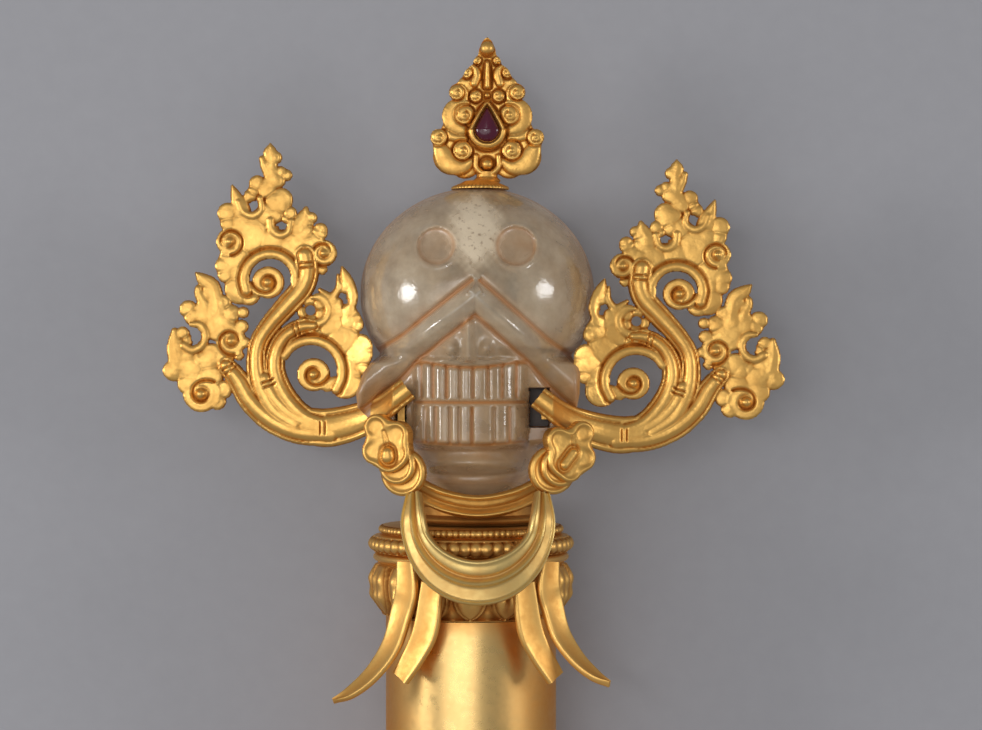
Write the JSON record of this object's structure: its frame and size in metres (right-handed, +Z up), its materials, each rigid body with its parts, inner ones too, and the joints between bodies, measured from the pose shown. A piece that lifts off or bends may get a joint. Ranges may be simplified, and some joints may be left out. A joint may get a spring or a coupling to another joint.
{
  "type": "ritual sceptre",
  "caption": "Gilt ritual sceptre with a carved rock-crystal skull head, flaming side scrolls, a jewelled flame finial, a draped scarf and a lotus capital, lying on its back.",
  "frame": {"origin": "on the ground, at the flat rest spot on the back of the skull, on the staff's axis line", "axes": "+Y along the staff from the pommel to the flame finial, +Z up out of the skull's face, +X towards the side scroll on the right of the face as seen from above"},
  "size_m": [0.1155, 0.4224, 0.0435],
  "materials": {
    "crystal": "polished, a little cloudy",
    "gilt": "warm gilding, darker in the hollows",
    "pale_gilt": "satin gilding, burnished",
    "garnet": "polished"
  },
  "bodies": {
    "root": {"crystal_skull": "crystal", "flame_finial": "gilt", "garnet": "garnet", "knot_left": "gilt", "knot_right": "gilt", "lotus_capital": "gilt", "neck_band": "gilt", "neck_cup": "gilt", "pommel": "gilt", "ribbon_end_inner_left": "gilt", "ribbon_end_inner_right": "gilt", "ribbon_end_outer_left": "gilt", "ribbon_end_outer_right": "gilt", "scarf_crescent": "pale_gilt", "side_scroll_left": "gilt", "side_scroll_right": "gilt", "staff_shaft": "pale_gilt"}
  },
  "joints": []
}
